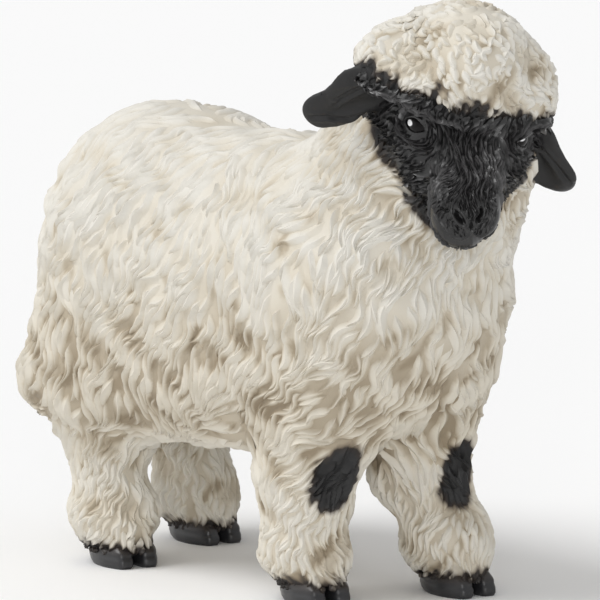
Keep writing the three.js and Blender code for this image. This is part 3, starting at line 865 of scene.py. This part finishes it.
cap_roots = scatter(points, quads, 0.85, lambda p: woolly_root(p) & capped(p), 6)
height = cap_height(to_head(cap_roots))
crown_wool = lay(cap_roots[height > 2.6], wool_surface, 6, 2.4, 1.15, 55, 95, 0.18, stray=3)
coat_piece("topknot", crown_wool, surface=wool_surface, direction=lie, wavelength=3.0, seed=6)
fringe_roots = scatter(points, quads, 0.7, lambda p: woolly_root(p) & capped(p) & (cap_height(to_head(p)) < 2.8), 8)
fringe = lay(fringe_roots, wool_surface, 8, 2.6, 0.95, 28, 45, 0.28, lift=0.04, stray=1)
coat_piece("fringe", fringe, surface=wool_surface, direction=lie, wavelength=2.6, seed=8)

leg_roots = scatter(points, quads, 0.85, lambda p: woolly_root(p) & on_leg(p), 7)
leg_wool = lay(leg_roots, wool_surface, 7, 3.5, 1.0, 28, 35, 0.16, stray=1.0)
leg_wool["reach"] = np.clip(leg_wool["reach"], 0.6, np.maximum(leg_wool["roots"][:, 2] - WOOL_END + 0.7, 0.6))
coat_piece("leg_wool", leg_wool, surface=wool_surface, direction=lie, wavelength=4.2, seed=7)


# ---------------------------------------------------------------- the short fur of the face
def fur_surface(p):
    """The skin of the face, faired into the wool round it, which the fur runs out from under."""
    return soft_min(skin_field(p), wool_surface(p) + 0.15, 2.2)


def eye_ring(q):
    """Less than one over an eye and its lids."""
    ring = np.full(len(q), OUT)
    for side in (1, -1):
        axes, centre = eye_frame(side)
        e = (q - centre) @ axes
        ring = np.minimum(ring, (e[:, 0] / 2.25) ** 2 + (e[:, 1] / 1.3) ** 2 + OUT * (e[:, 2] < -2.5))
    return ring


def furry_root(p):
    q = to_head(p)
    under_fringe = (np.abs(cap_height(q) - 0.5) < 0.8) & (cap_in_world(p) < 0.6) & (q[:, 0] > -2.5)
    bare = (face_in_world(p) < 1.5) & (wool_surface(p) > -0.3) & (face_edge(q) > 0.5) & (ears_in_world(p) > 0.3)
    return (bare & (bare_ring(q) > 1)) | under_fringe


def fur_locks(spacing, seed, where, reach, width, relief, lift):
    """Fur that is shorter near the edge of the dark face, so that it stays on it."""
    roots = scatter(points, quads, spacing, lambda p: furry_root(p) & where(p), seed)
    locks = lay(roots, fur_surface, seed, reach, width, 26, 30, relief, lift=lift, stray=0.8)
    q = to_head(locks["roots"])
    side, _, up = nose_frame(q)
    nose = smooth(10.4, 11.4, q[:, 0]) * smooth(2.8, 2.0, side) * smooth(-1.6, -2.4, up)
    inside = np.clip(face_edge(q) / 4.5, 0.35, 1) * (1 - 0.45 * nose)
    inside *= np.clip(0.5 + 0.4 * (bare_ring(q) - 1), 0.5, 1)
    locks["relief"] *= 1 - 0.4 * nose
    locks["reach"] *= inside
    locks["width"] *= inside ** 0.5
    return locks


def bare_ring(q):
    """Less than one over the eyes, the nostrils and the lips."""
    side, over, up = nose_frame(q)
    nostril = nostril_ring(side, up) / 1.15 + OUT * (q[:, 0] < 10)
    lips = np.where((q[:, 0] > 8.5) & (over > -2.2), np.maximum(over, 0) / 0.42, OUT)
    return np.minimum(np.minimum(eye_ring(q), nostril), lips)


def clear_of_bare(locks, **shape):
    """Leaves out the locks that would cross an eye, the nose or the mouth."""
    centre, _, _ = lock_paths(locks["roots"], locks["reach"], locks["wave"], locks["stray"], curl=locks["curl"],
                              **shape)
    ring = bare_ring(to_head(centre.reshape(-1, 3))).reshape(len(centre), ROWS)
    keep = ring.min(1) > 0.8
    return {key: values[keep] for key, values in locks.items()}


FUR = dict(surface=fur_surface, direction=face_lie, wavelength=4.2, seed=9)
fur = fur_locks(0.6, 9, lambda p: to_head(p)[:, 0] < 8.6, 3.9, 1.1, 0.5, 0.12)
fur = clear_of_bare(fur, **FUR)
coat_piece("face_fur", fur, **FUR, sunk=0.1, edge=-0.12, start=0.14, lumps=0, paint_below=0.24)
SHORT_FUR = dict(surface=fur_surface, direction=face_lie, wavelength=2.6, seed=10)
short_fur = fur_locks(0.36, 10, lambda p: to_head(p)[:, 0] > 6.8, 1.9, 0.52, 0.24, 0.07)
short_fur = clear_of_bare(short_fur, **SHORT_FUR)
coat_piece("muzzle_fur", short_fur, **SHORT_FUR, sunk=0.06, edge=-0.07, start=0.14, lumps=0,
           paint_below=0.14)


# ---------------------------------------------------------------- paints
def material(name):
    made = bpy.data.materials.new(name)
    made.use_nodes = True
    tree = made.node_tree
    shader = tree.nodes["Principled BSDF"]
    return made, tree, shader


def node(tree, kind, **values):
    made = tree.nodes.new(kind)
    for key, value in values.items():
        setattr(made, key, value)
    return made


def ramp(tree, factor, *stops):
    made = node(tree, "ShaderNodeValToRGB")
    elements = made.color_ramp.elements
    while len(elements) < len(stops):
        elements.new(0.5)
    for element, (at, colour) in zip(elements, stops):
        element.position = at
        element.color = (*colour, 1) if len(colour) == 3 else colour
    tree.links.new(factor, made.inputs[0])
    return made.outputs[0]


def mix(tree, factor, a, b, how="MIX"):
    made = node(tree, "ShaderNodeMix", data_type="RGBA", blend_type=how)
    for socket, value in ((made.inputs[0], factor), (made.inputs[6], a), (made.inputs[7], b)):
        if hasattr(value, "is_output"):
            tree.links.new(value, socket)
        else:
            socket.default_value = value if isinstance(value, float) else (*value, 1)
    return made.outputs[2]


def noise(tree, scale, detail=3.0):
    where = node(tree, "ShaderNodeTexCoord")
    made = node(tree, "ShaderNodeTexNoise")
    made.inputs["Scale"].default_value = scale
    made.inputs["Detail"].default_value = detail
    tree.links.new(where.outputs["Object"], made.inputs["Vector"])
    return made.outputs["Fac"]


def attribute(tree, name):
    made = node(tree, "ShaderNodeAttribute", attribute_name=name)
    return made.outputs["Fac"]


def painted(name):
    made, tree, shader = material(name)
    cream = mix(tree, noise(tree, 260), (0.655, 0.632, 0.575), (0.69, 0.668, 0.612))
    # the beige paint and painted shade of the wool: white where there is none, brown where there is most
    beige = ramp(tree, attribute(tree, "wash_and_painted_shade"), (0.0, (1, 1, 1)), (0.45, (0.92, 0.88, 0.81)),
                 (0.75, (0.68, 0.61, 0.51)), (1.0, (0.42, 0.35, 0.26)))
    wool_colour = mix(tree, 1.0, cream, beige, "MULTIPLY")
    black = ramp(tree, attribute(tree, "soot"), (0.15, (0.5, 0.32, 0.18)),
                 (0.5, (0.14, 0.092, 0.063)), (0.9, (0.062, 0.06, 0.061)))
    # painted highlight and painted shade on the black paint: lighter on the crests of the fur, much darker in its
    # hollows
    crest = ramp(tree, attribute(tree, "wash_and_painted_shade"), (0.0, (1.2,) * 3), (0.15, (0.16,) * 3))
    black = mix(tree, 1.0, black, crest, "MULTIPLY")
    amount = ramp(tree, attribute(tree, "soot"), (0.05, (0, 0, 0)), (0.5, (1, 1, 1)))
    tree.links.new(mix(tree, amount, wool_colour, black), shader.inputs["Base Color"])
    satin = ramp(tree, attribute(tree, "wash_and_painted_shade"), (0.0, (0.27,) * 3), (0.25, (0.34,) * 3), (0.35, (0.6,) * 3))
    rough = mix(tree, amount, (0.62,) * 3, satin)
    tree.links.new(rough, shader.inputs["Roughness"])
    bump = node(tree, "ShaderNodeBump")
    bump.inputs["Strength"].default_value = 0.25
    bump.inputs["Distance"].default_value = 0.0001
    tree.links.new(noise(tree, 2500, 4), bump.inputs["Height"])
    tree.links.new(bump.outputs[0], shader.inputs["Normal"])
    return made


PAINT = painted("painted_wool")
skin.data.materials.append(PAINT)
flesh = [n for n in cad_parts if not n.startswith(("eye", "hoof"))]
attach(skin, "root")
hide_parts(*flesh)
for made in coat:
    made.data.materials.append(PAINT)
    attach(made, "root")
    "black_fur" if "fur" in made.name else "wool"


# ---------------------------------------------------------------- eyes and claws
def ball(name, side, rings=64, around=96):
    """An eye: a little longer than it is high, with the clear bulge of its front."""
    axes, centre = eye_frame(side)
    a, b = np.meshgrid(np.linspace(0, math.pi, rings), np.linspace(0, 2 * math.pi, around, endpoint=False),
                       indexing="ij")
    local = np.stack([np.sin(a) * np.cos(b), np.sin(a) * np.sin(b), np.cos(a)], -1).reshape(-1, 3)
    bulge = 1 + 0.03 * smooth(0.75, 1.0, local[:, 2])
    radii = np.array([EYE_STRETCH, 1, 1]) * EYE_RADIUS
    p = from_head((local * radii * bulge[:, None]) @ axes.T + centre)
    grid = np.arange(rings * around).reshape(rings, around)
    ahead = np.roll(grid, -1, axis=1)
    faces = np.stack([grid[:-1], ahead[:-1], ahead[1:], grid[1:]], -1).reshape(-1, 4)[:, ::-1 if side > 0 else 1]
    spot = unit(np.array([0.5, -0.33, 0.8] if side > 0 else [-0.38, -0.02, 0.92]))
    glint = 1 - smooth(0.29, 0.37, length((local - spot) * np.array([1, 1.3, 1])))
    return mesh_object(name, p, faces, {"glint": glint})


def eye_paint():
    made, tree, shader = material("painted_eye")
    colour = mix(tree, attribute(tree, "glint"), (0.008, 0.007, 0.007), (0.95, 0.95, 0.96))
    tree.links.new(colour, shader.inputs["Base Color"])
    bump = node(tree, "ShaderNodeBump")
    bump.inputs["Strength"].default_value = 0.08
    bump.inputs["Distance"].default_value = 0.00005
    tree.links.new(noise(tree, 1500), bump.inputs["Height"])
    tree.links.new(bump.outputs[0], shader.inputs["Normal"])
    rough = ramp(tree, noise(tree, 600), (0.3, (0.10,) * 3), (0.7, (0.18,) * 3))
    tree.links.new(rough, shader.inputs["Roughness"])
    shader.inputs["Specular IOR Level"].default_value = 0.12
    return made


EYE_PAINT = eye_paint()
for eye_name, side in (("left", 1), ("right", -1)):
    eye = ball(f"eyeball_{eye_name}", side)
    eye.data.materials.append(EYE_PAINT)
    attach(eye, "root")
    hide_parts(f"eye_{eye_name}")


def claw(name, foot, side, levels=22, around=56):
    """One claw of a hoof: flat along the cleft, round outside, drawn in to the coronet."""
    toe, heel = HOOF_LENGTH / 2, -HOOF_LENGTH / 2
    a = np.linspace(0, 2 * math.pi, around, endpoint=False)
    half_width = (HOOF_WIDTH / 2 - CLEFT / 2) / 2
    x = np.cos(a)
    y = np.sin(a)
    long = np.sign(x) * np.abs(x) ** 0.85 * (HOOF_LENGTH / 2)
    bow = np.where(y * side > 0, np.abs(y) ** 0.85, np.abs(y) ** 0.28)
    pinch = 1 - 0.35 * smooth(0.2, 1, long / toe) * (y * side > 0) - 0.25 * smooth(0.2, 1, -long / toe)
    wide = np.sign(y) * bow * half_width * pinch
    rows = []
    top = HOOF_HEIGHT + 0.5
    for k in range(levels):
        t = k / (levels - 1)
        z = top * t
        edge = 1 - 0.12 * (1 - smooth(0, 0.2, t)) ** 2
        ring = 1 - 0.06 * t - 0.2 * smooth(2.0, 3.0, z) + 0.012 * math.sin(t * 30)
        rows.append(np.stack([long * edge * ring - 0.3 * z, wide * edge * ring + side * (half_width + CLEFT / 2),
                              np.full(around, z)], 1))
    p = np.concatenate([[rows[0].mean(0)], *rows, [rows[-1].mean(0)]])
    c, s_ = math.cos(math.radians(foot["toes"])), math.sin(math.radians(foot["toes"]))
    p = p @ np.array([[c, s_, 0], [-s_, c, 0], [0, 0, 1]]) + np.array([foot["x"], foot["y"], 0])
    grid = 1 + np.arange(levels * around).reshape(levels, around)
    ahead = np.roll(grid, -1, axis=1)
    walls = np.stack([grid[:-1], ahead[:-1], ahead[1:], grid[1:]], -1).reshape(-1, 4)
    under = np.stack([np.zeros(around, int), np.zeros(around, int), ahead[0], grid[0]], 1)
    last = len(p) - 1
    triangles = np.concatenate([walls[:, [0, 1, 2]], walls[:, [0, 2, 3]], under[:, [0, 2, 3]],
                                np.stack([np.full(around, last), grid[-1], ahead[-1]], 1)])
    return mesh_object(name, p, triangles)


def horn_paint():
    made, tree, shader = material("painted_horn")
    where = node(tree, "ShaderNodeTexCoord")
    split = node(tree, "ShaderNodeSeparateXYZ")
    tree.links.new(where.outputs["Object"], split.inputs[0])
    height = node(tree, "ShaderNodeMapRange")
    height.inputs["From Min"].default_value = 0.0015
    height.inputs["From Max"].default_value = 0.0040
    tree.links.new(split.outputs["Z"], height.inputs["Value"])
    colour = mix(tree, height.outputs[0], (0.022, 0.022, 0.024), (0.045, 0.028, 0.018))
    tree.links.new(colour, shader.inputs["Base Color"])
    rough = ramp(tree, noise(tree, 500), (0.3, (0.28,) * 3), (0.7, (0.40,) * 3))
    tree.links.new(rough, shader.inputs["Roughness"])
    bump = node(tree, "ShaderNodeBump")
    bump.inputs["Strength"].default_value = 0.2
    bump.inputs["Distance"].default_value = 0.0001
    tree.links.new(noise(tree, 900, 4), bump.inputs["Height"])
    tree.links.new(bump.outputs[0], shader.inputs["Normal"])
    return made


HORN_PAINT = horn_paint()
for foot_name, foot in FEET.items():
    for side in (1, -1):
        where = "outer" if side * foot["y"] > 0 else "inner"
        horn = claw(f"claw_{foot_name}_{where}", foot, side)
        horn.data.materials.append(HORN_PAINT)
        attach(horn, "root")
        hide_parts(f"hoof_{foot_name}_{where}")

# ---------------------------------------------------------------- floor, lights and camera
SIZE = 0.075
bpy.ops.mesh.primitive_plane_add(size=SIZE * 40)
floor = bpy.context.object
floor.name = "floor"
fmat, ftree, fshader = material("pale_floor")
fshader.inputs["Base Color"].default_value = (0.95, 0.95, 0.95, 1)
fshader.inputs["Roughness"].default_value = 0.8
floor.data.materials.append(fmat)


def sun_light(name, energy, spread, direction):
    data = bpy.data.lights.new(name, "SUN")
    data.energy = energy
    data.angle = math.radians(spread)
    lamp = bpy.data.objects.new(name, data)
    lamp.rotation_mode = "QUATERNION"
    lamp.rotation_quaternion = Vector(direction).to_track_quat("-Z", "Y")
    bpy.context.scene.collection.objects.link(lamp)


sun_light("key", 1.52, 32, (0.35, 0.6, -1))
sun_light("fill", 0.72, 24, (-0.72, 0.68, -0.15))
sun_light("side", 0.38, 50, (0.67, 0.74, -0.2))
world = bpy.data.worlds.new("studio")
world.use_nodes = True
world.node_tree.nodes["Background"].inputs["Color"].default_value = (1, 1, 1, 1)
world.node_tree.nodes["Background"].inputs["Strength"].default_value = 0.57
bpy.context.scene.world = world
bpy.context.scene.view_settings.view_transform = "Standard"

AZIMUTH, ELEVATION, DISTANCE = math.radians(48), math.radians(9), 1.0
TARGET = Vector((-0.0013514, 0.0019304, 0.0343))
back = Vector((math.sin(AZIMUTH) * math.cos(ELEVATION), -math.cos(AZIMUTH) * math.cos(ELEVATION),
               math.sin(ELEVATION)))
camera_data = bpy.data.cameras.new("camera")
camera_data.sensor_width = 36
camera_data.lens = 36 * 8.12 * DISTANCE * 1000 / 600
camera_data.clip_start, camera_data.clip_end = 0.01, 20
camera = bpy.data.objects.new("camera", camera_data)
camera.location = TARGET + back * DISTANCE
camera.rotation_mode = "QUATERNION"
camera.rotation_quaternion = (-back).to_track_quat("-Z", "Y")
bpy.context.scene.collection.objects.link(camera)
bpy.context.scene.camera = camera
